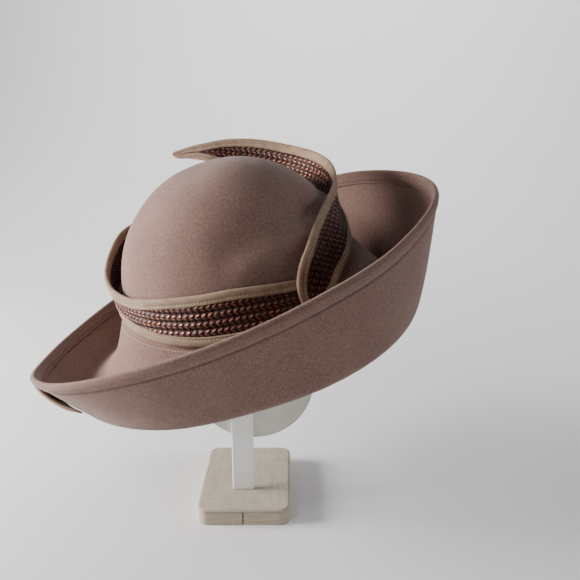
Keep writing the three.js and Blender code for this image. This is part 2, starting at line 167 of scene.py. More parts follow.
def rgb(red, green, blue):
    """An sRGB colour of 0 to 255 as the linear one that a shader takes."""
    parts = [c / 255 for c in (red, green, blue)]
    return (*[c / 12.92 if c <= 0.04045 else ((c + 0.055) / 1.055) ** 2.4 for c in parts], 1)


# sizes in millimetres, in the hat's own frame
HEAD_LONG, HEAD_WIDE, OVAL_POWER = 197, 168, 2.1
FELT = 2.5
CROWN_HIGH, CROWN_STRAIGHT, DOME_POWER = 127, 11, 2.16
SEAM_SPREAD, SEAM_RISE = 30, 16
BRIM_DROP, BRIM_REACH, BRIM_UPTURN = 42, 86, 74
SEAT_GAP = 0.3

# turn: angle round the hat, 0 at the right end, 90 at the far side, 180 at the left end; the rest as shares
BRIM = """
turn spread seam flare trough drop reach upturn
0    1.0   0.0  0.39  0.5   0.6   0.88  0.92
30   0.6   0.0  0.33  0.45  0.66  0.66  1.0
60   0.33  0.1  0.27  0.4   0.72  0.51  0.89
90   0.2   0.25 0.22  0.4   0.76  0.51  0.65
120  0.2   0.5  0.22  0.45  0.8   0.58  0.35
150  0.2   0.75 0.2   0.53  0.84  0.74  0.03
180  0.2   0.9  0.2   0.57  0.86  1.01  -0.13
210  0.2   0.85 0.19  0.57  0.88  0.98  0.11
240  0.17  0.4  0.17  0.5   0.88  0.77  0.31
270  0.17  0.12 0.16  0.42  0.81  0.58  0.43
300  0.25  0.0  0.21  0.42  0.74  0.49  0.54
330  0.6   0.0  0.31  0.45  0.66  0.61  0.68
"""
DENTS = """
turn high to_turn to_high width depth  from_share
262  0.5  331  0.64  0.11  0.05   0.5
268  0.43 327  0.52  0.075 -0.034 0.35
205  0.85 225  0.97  0.2   0.03   0
"""


def table(text):
    head, *rows = [line.split() for line in text.strip().splitlines()]
    return [dict(zip(head, map(float, row))) for row in rows]


def curves(text, round_about=False):
    """Each column of a table as a smooth function of its turn, or of the row number where it has none."""
    rows = table(text)
    places = [row.get("turn", i) for i, row in enumerate(rows)]
    count = len(rows)

    def row_at(i, name):
        if not round_about:
            i = min(max(i, 0), count - 1)
        return places[i % count] + 360 * (i // count), rows[i % count][name]

    def curve(name):
        @cache
        def at(where):
            t = where % 360 if round_about else where
            i = min(max(bisect_right(places, t) - 1, 0), count - (1 if round_about else 2))
            (a, va), (b, vb), (c, vc), (d, vd) = [row_at(i + k, name) for k in (-1, 0, 1, 2)]
            u = min(max((t - b) / (c - b), 0), 1)
            slope_b = (vc - va) / (c - a) * (c - b)
            slope_c = (vd - vb) / (d - b) * (c - b)
            return vb + (vc - vb) * u * u * (3 - 2 * u) + u * (1 - u) * ((1 - u) * slope_b - u * slope_c)
        return at

    return {name: curve(name) for name in rows[0] if name != "turn"}


brim = curves(BRIM, round_about=True)
dents = table(DENTS)


def around(turn, radius, height):
    return Vector((cos(radians(turn)) * radius, sin(radians(turn)) * radius, height))


@cache
def oval_radius(turn):
    x = abs(cos(radians(turn))) / (HEAD_LONG / 2 + FELT)
    y = abs(sin(radians(turn))) / (HEAD_WIDE / 2 + FELT)
    return (x ** OVAL_POWER + y ** OVAL_POWER) ** (-1 / OVAL_POWER)


def crown_radius(turn, height):
    rise = min(max((height - CROWN_STRAIGHT) / (CROWN_HIGH - CROWN_STRAIGHT), 0), 1)
    dome = (1 - rise ** DOME_POWER) ** (1 / DOME_POWER)
    top, low = brim["flare"](turn) * CROWN_HIGH, SEAM_RISE * brim["seam"](turn)
    spread = SEAM_SPREAD * brim["spread"](turn) * min(max((top - height) / (top - low), 0), 1) ** 1.5
    return oval_radius(turn) * dome + spread


def dent_depth(point):
    depth = 0
    for dent in dents:
        low, high = dent["high"] * CROWN_HIGH, dent["to_high"] * CROWN_HIGH
        a = around(dent["turn"], crown_radius(dent["turn"], low), low)
        b = around(dent["to_turn"], crown_radius(dent["to_turn"], high), high)
        share = min(max((point - a).dot(b - a) / (b - a).length_squared, 0), 1)
        away = (point - a.lerp(b, share)).length / (dent["width"] * CROWN_HIGH)
        fade = min(share / dent["from_share"], 1) if dent["from_share"] else 1
        depth += dent["depth"] * CROWN_HIGH * exp(-away * away) * fade * fade * (3 - 2 * fade)
    return depth


SECTION_STEPS = 24


@cache
def brim_section(turn):
    """Points of the brim's section from the seam to the rim, with their distance along it."""
    seam = Vector((SEAM_SPREAD * brim["spread"](turn), SEAM_RISE * brim["seam"](turn)))
    trough = Vector((BRIM_REACH * brim["trough"](turn), -BRIM_DROP * brim["drop"](turn)))
    rim = Vector((BRIM_REACH * brim["reach"](turn), BRIM_UPTURN * brim["upturn"](turn)))
    fall = seam.y - trough.y
    inner = Vector((seam.x + (trough.x - seam.x) * 0.42, (seam.y + trough.y) / 2 - 0.15 * fall))
    outer = Vector((trough.x + (rim.x - trough.x) * 0.4, trough.y + (rim.y - trough.y) * 0.3))
    knots = [seam, seam, inner, trough, outer, rim, rim]
    points = []
    for k in range(4):
        a, b, c, d = knots[k:k + 4]
        v0, v1 = (c - a) / 2, (d - b) / 2
        cubic, square = 2 * b - 2 * c + v0 + v1, 3 * c - 3 * b - 2 * v0 - v1
        for step in range(SECTION_STEPS + (k == 3)):
            t = step / SECTION_STEPS
            points.append(cubic * t ** 3 + square * t * t + v0 * t + b)
    runs = [0]
    for p, q in zip(points, points[1:]):
        runs.append(runs[-1] + (q - p).length)
    return points, runs


def brim_point(turn, run, depth):
    """A point of the brim at a distance along its section, depth measured down through the felt."""
    points, runs = brim_section(turn)
    i = min(max(bisect_right(runs, run) - 1, 0), len(points) - 2)
    share = (run - runs[i]) / (runs[i + 1] - runs[i])
    at = points[i].lerp(points[i + 1], share)
    ways = [points[min(k + 1, len(points) - 1)] - points[max(k - 1, 0)] for k in (i, i + 1)]
    along = ways[0].lerp(ways[1], min(max(share, 0), 1)).normalized()
    at = at + Vector((along.y, -along.x)) * depth
    return around(turn, oval_radius(turn) + at.x, at.y)


# the hat sits on its stand tipped down to the left and, less, to the front
HAT_PLACE, TIP_LEFT, TIP_FRONT = (1.4, 14.4, 178.6), 12.5, 7.5
HAT_POSE = (Matrix.Translation(HAT_PLACE) @ Matrix.Rotation(radians(-TIP_LEFT), 4, "Y")
            @ Matrix.Rotation(radians(TIP_FRONT), 4, "X"))


def loft(name, along, across, place):
    """A grid set corner by corner on a form; place gives each corner's point and UV, in millimetres."""
    shape = bmesh.new()
    uv = shape.loops.layers.uv.new("cloth")
    bmesh.ops.create_grid(shape, x_segments=along, y_segments=across, size=0.5, calc_uvs=True)
    marks = {}
    for vert in shape.verts:
        i, j = round((vert.co.x + 0.5) * along), round((vert.co.y + 0.5) * across)
        at, marks[i, j] = place(i, j)
        vert.co = HAT_POSE @ at * 0.001
    for face in shape.faces:
        for loop in face.loops:
            u, v = loop[uv].uv
            loop[uv].uv = marks[round(u * along), round(v * across)]
    bmesh.ops.remove_doubles(shape, verts=shape.verts, dist=1e-6)
    rims = [edge for edge in shape.edges if edge.is_boundary]
    bmesh.ops.holes_fill(shape, edges=rims, sides=0)
    bmesh.ops.recalc_face_normals(shape, faces=shape.faces)
    return finish_piece(name, shape)


def finish_piece(name, shape):
    mesh = bpy.data.meshes.new(name)
    shape.to_mesh(mesh)
    shape.free()
    mesh.shade_smooth()
    made = bpy.data.objects.new(name, mesh)
    bpy.context.scene.collection.objects.link(made)
    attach(made, "root")
    return made


felt = Look("brushed felt", Roughness=0.92, Sheen_Weight=0.12, Sheen_Roughness=0.45, Specular_IOR_Level=0.25)
place = felt.place()
nap = felt.noise(place, 760, 3, 0.75)
cloudy = felt.noise(place, 28, 3, 0.55)
fibres = felt.noise(place, 1300, 2, 0.8)
grain = nap * 0.6 + fibres * 0.4
body = felt.mix(cloudy.smooth(0.3, 0.7), rgb(117, 88, 80), rgb(123, 95, 85))
dark_hair = felt.mix(0.6, rgb(70, 50, 47), body)
felt.set(Base_Color=felt.mix(grain.smooth(0.38, 0.62), dark_hair, felt.mix(0.12, body, rgb(196, 176, 164))))
felt.set(Normal=felt.bump(grain, 0.0009, 0.6, felt.bump(cloudy, 0.0008, 0.2)))


# Crown: one shell of felt, with a soft hollow across its near right side, a slight fold below it and a
# flatter shoulder at the upper left. Its foot is stitched to the brim under the band.
def crown_point(turn, rise, depth):
    def plain(r):
        low, wall = SEAM_RISE * brim["seam"](turn), 0.25
        if r < wall:
            height = low + (CROWN_STRAIGHT + low / 2 - low) * r / wall
            return around(turn, crown_radius(turn, height), height)
        start = max(low / 2, 0) / (CROWN_HIGH - CROWN_STRAIGHT)
        bend = sin((r - wall) / (1 - wall) * pi / 2)
        share = (start ** (DOME_POWER / 2) * (1 - bend) + bend) ** (2 / DOME_POWER)
        height = CROWN_STRAIGHT + (CROWN_HIGH - CROWN_STRAIGHT) * share
        return around(turn, 0 if r > 0.9999 else crown_radius(turn, height), height)

    point = plain(rise)
    up = plain(min(rise + 0.01, 1)) - plain(max(rise - 0.01, 0))
    out = Vector((0, 0, 1)) if rise > 0.9999 else around(turn + 90, 1, 0).cross(up).normalized()
    return point - out * (depth + dent_depth(point))


CROWN_TURNS, CROWN_RINGS = 216, 60


def crown_place(i, j):
    turn = i / CROWN_TURNS * 360 % 360
    inner = j % (2 * CROWN_RINGS + 2) > CROWN_RINGS
    ring = 2 * CROWN_RINGS + 1 - j if inner else j % (2 * CROWN_RINGS + 2)
    if ring == 0:
        return brim_point(turn, 0, FELT if inner else 0), (turn, ring)
    return crown_point(turn, ring / CROWN_RINGS, FELT if inner else 0), (turn, ring)


crown = loft("felt_crown", CROWN_TURNS, 2 * CROWN_RINGS + 2, crown_place)
crown.data.materials.append(felt.material)
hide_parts("crown")


# Brim: the same felt, turned up all round, with its edge folded inwards over itself and stitched into a hem.
# The stitches pull a shallow groove into the felt on both sides.
HEM_WIDE, HEM_FOLD, HEM_ROLL = 12, 2, 0.8
HEM_STITCH, GROOVE_DEEP, GROOVE_WIDE = 10.6, 1.0, 1.1
INSIDE_STEPS, OUTSIDE_STEPS = 68, 64


def groove(run, at):
    return GROOVE_DEEP * exp(-((run - at) / GROOVE_WIDE) ** 2)


def roll(run, line, rim):
    """The soft swell of the felt between the stitches and the edge."""
    return HEM_ROLL * sin(pi * min(max((run - line) / (rim - line), 0), 1)) ** 0.7


@cache
def brim_outline(turn):
    """The brim's closed section as runs and depths: the inside, the hem, the rim and the outside."""
    length = brim_section(turn)[1][-1]
    hem, line = length - HEM_WIDE, length - HEM_STITCH
    inside = [(hem * k / INSIDE_STEPS, 0) for k in range(INSIDE_STEPS)]
    inside += [(hem - 0.3, 0), (hem + 0.05, -0.3), (hem + 0.15, -HEM_FOLD * 0.75)]
    folded = [(hem + 0.5 + (HEM_WIDE - 3) * k / 11, -HEM_FOLD * (1 if k else 0.94)) for k in range(12)]
    folded = [(run, depth + groove(run, line)) for run, depth in folded]
    middle, half = (FELT - HEM_FOLD) / 2, (FELT + HEM_FOLD) / 2
    angles = [pi * k / 10 for k in range(11)]
    round_off = [(length - half + half * sin(a), middle - half * cos(a)) for a in angles]
    outside = [(length - half - 0.6 * k, FELT) for k in range(1, 24)]
    last = outside[-1][0]
    outside += [(last * (1 - k / OUTSIDE_STEPS), FELT) for k in range(1, OUTSIDE_STEPS + 1)]
    outside = [(run, depth - groove(run, line) + roll(run, line, length)) for run, depth in outside]
    return inside + folded + round_off + outside


BRIM_TURNS, BRIM_ACROSS = 240, len(brim_outline(0))


def brim_place(i, j):
    turn = i / BRIM_TURNS * 360 % 360
    run, depth = brim_outline(turn)[j % BRIM_ACROSS]
    return brim_point(turn, run, depth), (turn, run)


brim_felt = loft("felt_brim", BRIM_TURNS, BRIM_ACROSS, brim_place)
brim_felt.data.materials.append(felt.material)
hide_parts("brim")


# Thread of the hem and of the seam at the crown's foot: short stitches that sit in their groove.
# Each stitch is a small rounded bead, longer than it is wide.
HEM_PITCH, HEM_SUNK = 3.4, 0.92
SEAM_PITCH, SEAM_RUN = 3.0, 1.6


def stitch_row(name, places, length, thick, material):
    shape = bmesh.new()
    for at, along, out in places:
        side = out.cross(along).normalized()
        turned = Matrix((along.normalized(), side, along.cross(side).normalized())).transposed().to_4x4()
        size = Matrix.Diagonal((length / 2, thick, thick * 0.8, 1))
        pose = Matrix.Scale(0.001, 4) @ HAT_POSE @ Matrix.Translation(at) @ turned @ size
        bmesh.ops.create_icosphere(shape, subdivisions=1, radius=1, matrix=pose)
    made = finish_piece(name, shape)
    made.data.materials.append(material)


def brim_stitches(run_at, depth, pitch):
    """Places along a line of the brim, evenly spaced."""
    count, apart = 720, 0.5
    turns = [k * apart for k in range(count + 1)]
    line = [brim_point(turn % 360, run_at(turn % 360), depth) for turn in turns]
    places, walked, wanted = [], 0, 0
    for k in range(count):
        step = (line[k + 1] - line[k]).length
        while wanted < walked + step:
            share = (wanted - walked) / step
            turn = (turns[k] + apart * share) % 360
            at = line[k].lerp(line[k + 1], share)
            out = at - brim_point(turn, run_at(turn), depth - 1 if depth > 0 else depth + 1)
            places.append((at, line[k + 1] - line[k], out))
            wanted += pitch
        walked += step
    return places


def hem_run(turn):
    return brim_section(turn)[1][-1] - HEM_STITCH


thread = Look("felt coloured thread", Roughness=0.8, Sheen_Weight=0.2)
ply = thread.noise(thread.place(), 2500, 2)
thread.set(Base_Color=thread.mix(ply, rgb(88, 70, 64), rgb(132, 110, 101)))
hem_line = brim_stitches(hem_run, FELT - HEM_SUNK, HEM_PITCH)
hem_inside = brim_stitches(hem_run, HEM_SUNK - HEM_FOLD, HEM_PITCH)
stitch_row("hem_thread", hem_line + hem_inside, 2.3, 0.28, thread.material)
seam_line = brim_stitches(lambda turn: SEAM_RUN, 0, SEAM_PITCH)
pale_thread = Look("pale thread", Roughness=0.7, Sheen_Weight=0.2, Base_Color=rgb(196, 176, 160))
stitch_row("seam_thread", seam_line, 2.0, 0.26, pale_thread.material)


# Band: a strip of straw braid with metallic threads, sewn round the crown and sprung off it at the left end.
# It is a flat weave of narrow plaits side by side, each a row of chevrons, bound along both edges.
BAND_START, BAND_END, BAND_FLARE = 28, 306, 24
TRIM_HALF, TRIM_EASE = 1.9, 0.7
BINDING_WIDE, BINDING_LIP = 8, 1.3
PLAIT_WIDE, STITCH_LONG, CHEVRON = 6.4, 4.9, 3.1
BRAID_STEP, BRAID_SAMPLES = 0.95, 44

BAND = """
turn low high out belly
28   0.09 0.2   0    0
45   0.09 0.33  0    0
65   0.11 0.41  0    0
90   0.17 0.48  0.08 0
120  0.26 0.58  0.35 0.05
140  0.3  0.62  0.7  0.05
155  0.3  0.61  0.85 0.05
171  0.26 0.54  0.6  0.05
186  0.22 0.45  0.45 0.05
195  0.19 0.4   0.3  0.03
204  0.17 0.37  0.12 0.02
214  0.15 0.36  0.03 0
236  0.09 0.37  0    0
255  0.06 0.37  0    0
275  0.05 0.365 0    0
306  0.04 0.31  0    0
"""
band = curves(BAND)


def lerp(a, b, share):
    return a + (b - a) * share


def trim_radius(turn, height):
    lean = (crown_radius(turn, height - 1) - crown_radius(turn, height + 1)) / 2
    return crown_radius(turn, height) + (TRIM_HALF + SEAT_GAP + TRIM_EASE) * hypot(1, lean)


def band_point(turn, across):
    low, high = CROWN_HIGH * band["low"](turn), CROWN_HIGH * band["high"](turn)
    stand_off = BAND_FLARE * (band["out"](turn) * across + band["belly"](turn) * 4 * across * (1 - across))
    height = lerp(low, high, across)
    chord = lerp(trim_radius(turn, low), trim_radius(turn, high), across)
    return around(turn, max(chord, trim_radius(turn, height)) + stand_off, height)


class Strip:
    """The middle surface of a strip, as a lattice of points from its lower edge to its upper one."""
    LONG, WIDE = 240, 10

    def __init__(self, point, start, end, thin_ends=0, full=1):
        self.thin_ends, self.full = thin_ends, full
        self.rows = [[point(lerp(start, end, i / self.LONG), j / self.WIDE) for j in range(self.WIDE + 1)]
                     for i in range(self.LONG + 1)]
        self.widths = [sum((b - a).length for a, b in zip(row, row[1:])) for row in self.rows]
        middle = [row[self.WIDE // 2] for row in self.rows]
        self.runs = [0]
        for a, b in zip(middle, middle[1:]):
            self.runs.append(self.runs[-1] + (b - a).length)
        self.length = self.runs[-1]

    def station(self, run):
        i = min(max(bisect_right(self.runs, run) - 1, 0), self.LONG - 1)
        return i, (run - self.runs[i]) / (self.runs[i + 1] - self.runs[i])

    def width(self, run):
        i, share = self.station(run)
        return lerp(self.widths[i], self.widths[i + 1], share)

    def fullness(self, run):
        """Share of its full thickness that a strip has, where it thins towards its ends."""
        end = min(run, self.length - run)
        shrunk = 0.65 * (1 - sin(pi / 2 * max(end, 0) / self.thin_ends)) if end < self.thin_ends else 0
        return self.full * (1 - shrunk)

    def spot(self, run, across):
        i, share = self.station(run)
        across = min(max(across, 0), 1) * self.WIDE
        j = min(int(across), self.WIDE - 1)
        near = self.rows[i][j].lerp(self.rows[i][j + 1], across - j)
        return near.lerp(self.rows[i + 1][j].lerp(self.rows[i + 1][j + 1], across - j), share)

    def frame(self, run, across):
        """A point, the way along, the way up across and the way out through the strip."""
        before, after = self.spot(max(run - 2, 0), across), self.spot(min(run + 2, self.length), across)
        wide = (self.spot(run, across + 0.05) - self.spot(run, across - 0.05)).normalized()
        along = (after - before).normalized()
        return self.spot(run, across), along, wide, along.cross(wide).normalized()


def plait_height(run, across):
    """Relief of the braid from 0 to 1, across in millimetres from the strip's middle."""
    side = abs(2 * (across / PLAIT_WIDE % 1) - 1)
    strand = abs(sin(pi * (run - CHEVRON * side) / STITCH_LONG)) ** 0.8
    return (1 - side ** 5) * (1 - 0.4 * exp(-(side / 0.14) ** 2)) * (0.3 + 0.7 * strand)


def braid_piece(name, strip, node):
    """Both faces of the braid, each with its plaits, as one thin closed wall between the two bindings."""
    steps, half = round(strip.length / BRAID_STEP), BRAID_SAMPLES
    runs = [strip.length * i / steps for i in range(steps + 1)]

    def place_corner(i, j):
        run, front = runs[i], j % (2 * half) <= half
        share = (j if front else 2 * half - j % (2 * half)) / half
        if j == 2 * half:
            front, share = True, 0
        width = strip.width(run)
        lip = min(BINDING_LIP / width, 0.4)
        across = lip + (1 - 2 * lip) * share
        at, _, _, out = strip.frame(run, across)
        middle = (across - 0.5) * width
        thick = (0.25 + plait_height(run, middle)) * strip.fullness(run)
        if share in (0, 1):
            thick = 0
        return at + out * (thick if front else -thick), (run, middle)

    made = loft(name, steps, 2 * half, place_corner)
    made.data.materials.append(braid.material)
    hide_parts(node)


braid = Look("metallic straw braid", Roughness=0.3, Metallic=0.75, Specular_IOR_Level=0.6)
along, across = braid.cloth_place()
row = across * (1 / PLAIT_WIDE)
side = (row.fract() * 2 - 1).abs()
stitch = (along - side * CHEVRON) * (1 / STITCH_LONG)
cell = braid.node("ShaderNodeCombineXYZ", None, stitch.floor(), (row * 2).floor(), 0.5)
chance = braid.node("ShaderNodeTexWhiteNoise", {"noise_dimensions": "3D"}, Vector=cell)
strand = (stitch.fract() * pi).sin()
rib = (1 - side ** 5) * side.smooth(-0.1, 0.22)
straw = (stitch * (2 * pi * 4)).sin() * 0.5 + 0.5
# Painted highlight and painted shade: the crown of each strand is painted lighter, and the crevices between
# strands and plaits take a darker painted colour.
painted_strand_highlight = (strand * rib).smooth(0.55, 1.0)
straw_tone = braid.mix(0.1 + chance * 0.85, rgb(82, 46, 38), rgb(190, 126, 100))
painted_crevice_shade = braid.mix(straw * 0.5, rgb(42, 25, 22), rgb(80, 49, 43))
braid.set(Base_Color=braid.mix(painted_strand_highlight * (0.55 + straw * 0.45), painted_crevice_shade, straw_tone))
braid.set(Roughness=0.22 + 0.3 * (1 - painted_strand_highlight) + straw * 0.08)
braid.set(Metallic=0.45 + chance * 0.5)
braid.set(Normal=braid.bump(strand * rib * 0.6 + straw * 0.25, 0.0008, 0.8))

band_strip = Strip(band_point, BAND_START, BAND_END)
braid_piece("band_plaits", band_strip, "band_braid")


# Bindings: a bias strip of matte cloth folded over each edge of the braid and stitched through it.
# The stitching draws a shallow groove into the cloth, and the cloth puckers a little between the stitches.
# The folded section is given in shares of the width in from the edge and of the thickness out.
FOLD = [(1, 0.5), (1, 0.8), (0.95, 0.93), (0.86, 0.95), (0.77, 0.84), (0.7, 0.72), (0.63, 0.86), (0.5, 1.02),
        (0.3, 1.04), (0.14, 0.92), (0.04, 0.6), (0, 0.2)]
FOLD += [(inward, -through) for inward, through in reversed(FOLD)] + [(0.2, -0.36), (0.16, 0), (0.2, 0.36)]
BINDING_STEP, BIND_STITCH = 1.2, 2.9


def binding_piece(name, strip, edge, node):
    steps = round(strip.length / BINDING_STEP)
    runs = [strip.length * i / steps for i in range(steps + 1)]

    def place_corner(i, j):
        run = runs[i]
        inward, through = FOLD[j % len(FOLD)]
        width = strip.width(run)
        reach = min(BINDING_WIDE, width / 2 - SEAT_GAP) * inward
        pucker = 1 + 0.035 * sin(2 * pi * run / BIND_STITCH) * (0.5 < inward < 0.99)
        across = reach / width if edge == 0 else 1 - reach / width
        at, _, _, out = strip.frame(run, across)
        raised = out * through * pucker * TRIM_HALF * strip.fullness(run)
        return at + raised, (run, inward * BINDING_WIDE * (1 if through > 0 else -1))

    made = loft(name, steps, len(FOLD), place_corner)
    made.data.materials.append(binding.material)
    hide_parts(node)
    rows = []
    run = BIND_STITCH
    while run < strip.length - BIND_STITCH / 2:
        width = strip.width(run)
        reach = min(BINDING_WIDE, width / 2 - SEAT_GAP) * 0.7
        at, along, _, out = strip.frame(run, reach / width if edge == 0 else 1 - reach / width)
        half = 0.78 * TRIM_HALF * strip.fullness(run)
        rows += [(at + out * half, along, out), (at - out * half, along, -out)]
        run += BIND_STITCH
    stitch_row(name + "_thread", rows, 1.9, 0.34, binding_thread.material)


binding = Look("beige bias cloth", Roughness=0.85, Sheen_Weight=0.12, Sheen_Roughness=0.5,
               Specular_IOR_Level=0.3)
along, across = binding.cloth_place()
place = binding.place()
warp = ((along + across) * 7.5).sin()
weft = ((along - across) * 7.5).sin()
weave = (warp * weft) * 0.5 + 0.5
mottle = binding.noise(place, 160, 4, 0.65)
tone = binding.mix(mottle.smooth(0.3, 0.7), rgb(129, 106, 87), rgb(154, 129, 108))
binding.set(Base_Color=binding.mix(weave * 0.25, tone, rgb(120, 99, 84)))
binding.set(Normal=binding.bump(weave * 0.4 + mottle * 0.6, 0.0004, 0.6))
binding_thread = Look("beige thread", Roughness=0.65, Sheen_Weight=0.2)
ply = binding_thread.noise(binding_thread.place(), 2600, 2)
binding_thread.set(Base_Color=binding_thread.mix(ply, rgb(168, 149, 130), rgb(212, 195, 176)))

binding_piece("band_low_binding", band_strip, 0, "band_lower_binding")
binding_piece("band_top_binding", band_strip, 1, "band_upper_binding")


# Collar: a second bound strip of the same braid, wider in the middle and pointed at its free end.
# It laps over the band's end, climbs the right of the crown, turns round behind it and ends in a free tip.
COLLAR = """
low_turn low  low_in high_turn high high_in
311   0.12  0.9  301   0.17  0.97
316.5 0.16  0.9  301   0.27  0.97
322.5 0.2   0.9  303.5 0.36  0.97
330   0.25  0.9  308   0.435 0.95
340   0.3   0.9  315   0.5   0.93
350   0.35  0.9  324   0.56  0.91
357   0.39  0.95 335   0.615 0.89
362   0.425 0.98 348   0.655 0.9
369   0.465 0.95 362   0.7   0.96
380   0.515 0.91 374   0.765 1.01
395   0.575 0.89 389   0.83  1.04
412   0.655 0.87 408.5 0.91  1.03
428   0.735 0.86 427   0.985 1.01
443   0.82  0.85 444   1.025 1.0
456   0.895 0.87 457   1.032 1.0
467   0.945 0.95 468   1.03  1.03
475.5 0.975 1.04 477   1.012 1.06
"""
collar = curves(COLLAR)
LAP_PAST, LAP_FADE = 3, 17


def collar_point(run, across):
    turn = lerp(collar["low_turn"](run), collar["high_turn"](run), across)
    height = CROWN_HIGH * lerp(collar["low"](run), collar["high"](run), across)
    past = min(max((turn - BAND_END - LAP_PAST) / LAP_FADE, 0), 1)
    lap = (2 * TRIM_HALF + SEAT_GAP + TRIM_EASE) * (1 - past * past * (3 - 2 * past))
    wall = trim_radius(turn, height) + lap
    free = oval_radius(turn) * lerp(collar["low_in"](run), collar["high_in"](run), across)
    return around(turn, (free + wall + hypot(free - wall, 2)) / 2, height)


def tip_cap(name, strip, covers, past):
    """Cloth folded round a strip's pointed end, over both bindings."""
    rings, sides, rounding = 14, 20, 4.5

    def place_corner(i, j):
        share = sin(pi / 2 * i / rings)
        run = strip.length - covers + (covers + past) * share
        rounded = max(run - (strip.length + past - rounding), 0) / rounding
        width = strip.width(min(run, strip.length))
        at, along, wide, out = strip.frame(min(run, strip.length), 0.5)
        at = at + along * max(run - strip.length, 0)
        round_off = 0 if i == rings else (1 - rounded ** 2) ** 0.5
        turn = 2 * pi * (j % sides) / sides
        grown = min(2 * share, 1)
        half = (width / 2 - 0.5 + 1.4 * grown) * round_off
        thick = TRIM_HALF * (0.85 + 0.27 * grown) * round_off
        return at + wide * half * cos(turn) + out * thick * sin(turn), (run, half * cos(turn))

    made = loft(name, rings, sides, place_corner)
    made.data.materials.append(binding.material)


collar_strip = Strip(collar_point, 0, len(table(COLLAR)) - 1)
tip_cap("collar_tip", collar_strip, covers=12, past=1.4)
braid_piece("collar_plaits", collar_strip, "collar_braid")
binding_piece("collar_low_binding", collar_strip, 0, "collar_lower_binding")
binding_piece("collar_top_binding", collar_strip, 1, "collar_upper_binding")


# Leaf: a small bound leaf of the same braid, sewn against the outside of the brim under its low left end.
# Its near end stands a little off the felt.
LEAF_START, LEAF_END = 162, 217
LEAF_WIDE, LEAF_FLARE, LEAF_FULL = 24, 1.6, 0.6
LEAF = """
turn top  width out
162 0.84  0.3  0
174 0.92  0.85 0
186 0.965 1.0  0
197 0.965 0.95 0
204 0.945 0.9  0.5
208 0.9   0.8  1.5
212 0.84  0.6  2.0
215 0.79  0.4  1.7
217 0.75  0.2  0.6
"""
leaf = curves(LEAF)


def leaf_point(turn, across):
    run = leaf["top"](turn) * brim_section(turn)[1][-1] - LEAF_WIDE * leaf["width"](turn) * (1 - across)
    stand_off = LEAF_FLARE * leaf["out"](turn) * across
    return brim_point(turn, run, FELT + TRIM_HALF * LEAF_FULL + SEAT_GAP + stand_off)


leaf_strip = Strip(leaf_point, LEAF_START, LEAF_END, thin_ends=9, full=LEAF_FULL)
braid_piece("leaf_plaits", leaf_strip, "leaf_braid")
binding_piece("leaf_low_binding", leaf_strip, 0, "leaf_lower_binding")
binding_piece("leaf_top_binding", leaf_strip, 1, "leaf_upper_binding")


# Base of the stand: a board covered in woven linen, its top panel resting on a band round the sides.
# The band is two halves that meet in butt joints at the middle of the front and of the back.
# These sizes and the post's and the plate's are in metres.
BASE_WIDE, BASE_DEEP, BASE_HIGH, BASE_CORNER = 0.080, 0.108, 0.015, 0.009
PANEL_THICK, JOINT, BUTT_JOINT = 0.0026, 0.0005, 0.0011
BAND_SETBACK, CORE_SETBACK = 0.0004, 0.003
SMALL_FACE = 0.0001


def rounded_block(shape, low, high, corner, top_edge, foot_edge, full=True):
    """A block with rounded corners seen from above and softened edges at its top and foot."""
    made = bmesh.ops.create_cube(shape, size=1)["verts"]
    middle = [(a + b) / 2 for a, b in zip(low, high)]
    bmesh.ops.scale(shape, verts=made, vec=[b - a for a, b in zip(low, high)])
    bmesh.ops.translate(shape, verts=made, vec=middle)
    upright = [e for e in shape.edges if e.verts[0] in made and abs(e.verts[0].co.z - e.verts[1].co.z) > 1e-5
               and (full or abs(e.verts[0].co.x) > 0.01)]
    bmesh.ops.bevel(shape, geom=upright, offset=corner, segments=7, profile=0.5, affect="EDGES", material=-1)
    for level, size in ((high[2], top_edge), (low[2], foot_edge)):
        flat = [e for e in shape.edges if e.calc_face_angle(0) > 1
                and all(abs(v.co.z - level) < 1e-6 for v in e.verts)]
        bmesh.ops.bevel(shape, geom=flat, offset=size, segments=4, profile=0.5, affect="EDGES", material=-1)


def stand_piece(name, shape, look, node, smooth=True):
    bmesh.ops.recalc_face_normals(shape, faces=shape.faces)
    made = finish_piece(name, shape)
    for face in made.data.polygons:
        face.use_smooth = smooth and face.area < SMALL_FACE
    made.data.materials.append(look.material)
    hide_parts(node)
    return made


linen = Look("woven linen", Roughness=0.9, Sheen_Weight=0.15, Specular_IOR_Level=0.25)
place = linen.place()
split = linen.node("ShaderNodeSeparateXYZ", None, place)
x, y, z = (Socket(linen, output) for output in split.output.node.outputs)
slubs = []
for stretch in ((900, 60, 900), (60, 900, 900)):
    stretched = linen.node("ShaderNodeVectorMath", {"operation": "MULTIPLY"}, place, stretch)
    slubs.append(linen.noise(stretched, 1, 2, 0.5))
slub, slub_across = slubs
threads = (x * 5200).sin() * ((y + z) * 5200).sin() * 0.5 + 0.5
uneven = (slub * 0.5 + slub_across * 0.5).smooth(0.36, 0.64)
linen_tone = linen.mix(uneven, rgb(159, 148, 129), rgb(180, 170, 151))
linen.set(Base_Color=linen.mix(threads * 0.25, linen_tone, rgb(142, 130, 114)))
linen.set(Normal=linen.bump(threads * 0.5 + slub * 0.25 + slub_across * 0.25, 0.0004, 0.7))

shape = bmesh.new()
half_x, half_y, panel_foot = BASE_WIDE / 2, BASE_DEEP / 2, BASE_HIGH - PANEL_THICK
rounded_block(shape, (-half_x, -half_y, panel_foot), (half_x, half_y, BASE_HIGH), BASE_CORNER, 0.0022, 0.0003)
stand_piece("base_top_panel", shape, linen, "stand_base")

shape = bmesh.new()
side_x, side_y, side_top = half_x - BAND_SETBACK, half_y - BAND_SETBACK, panel_foot - JOINT
for start, end in ((-side_x, -BUTT_JOINT / 2), (BUTT_JOINT / 2, side_x)):
    rounded_block(shape, (start, -side_y, 0), (end, side_y, side_top), BASE_CORNER, 0.0003, 0.0009,
                  full=False)
stand_piece("base_side_band", shape, linen, "stand_base")

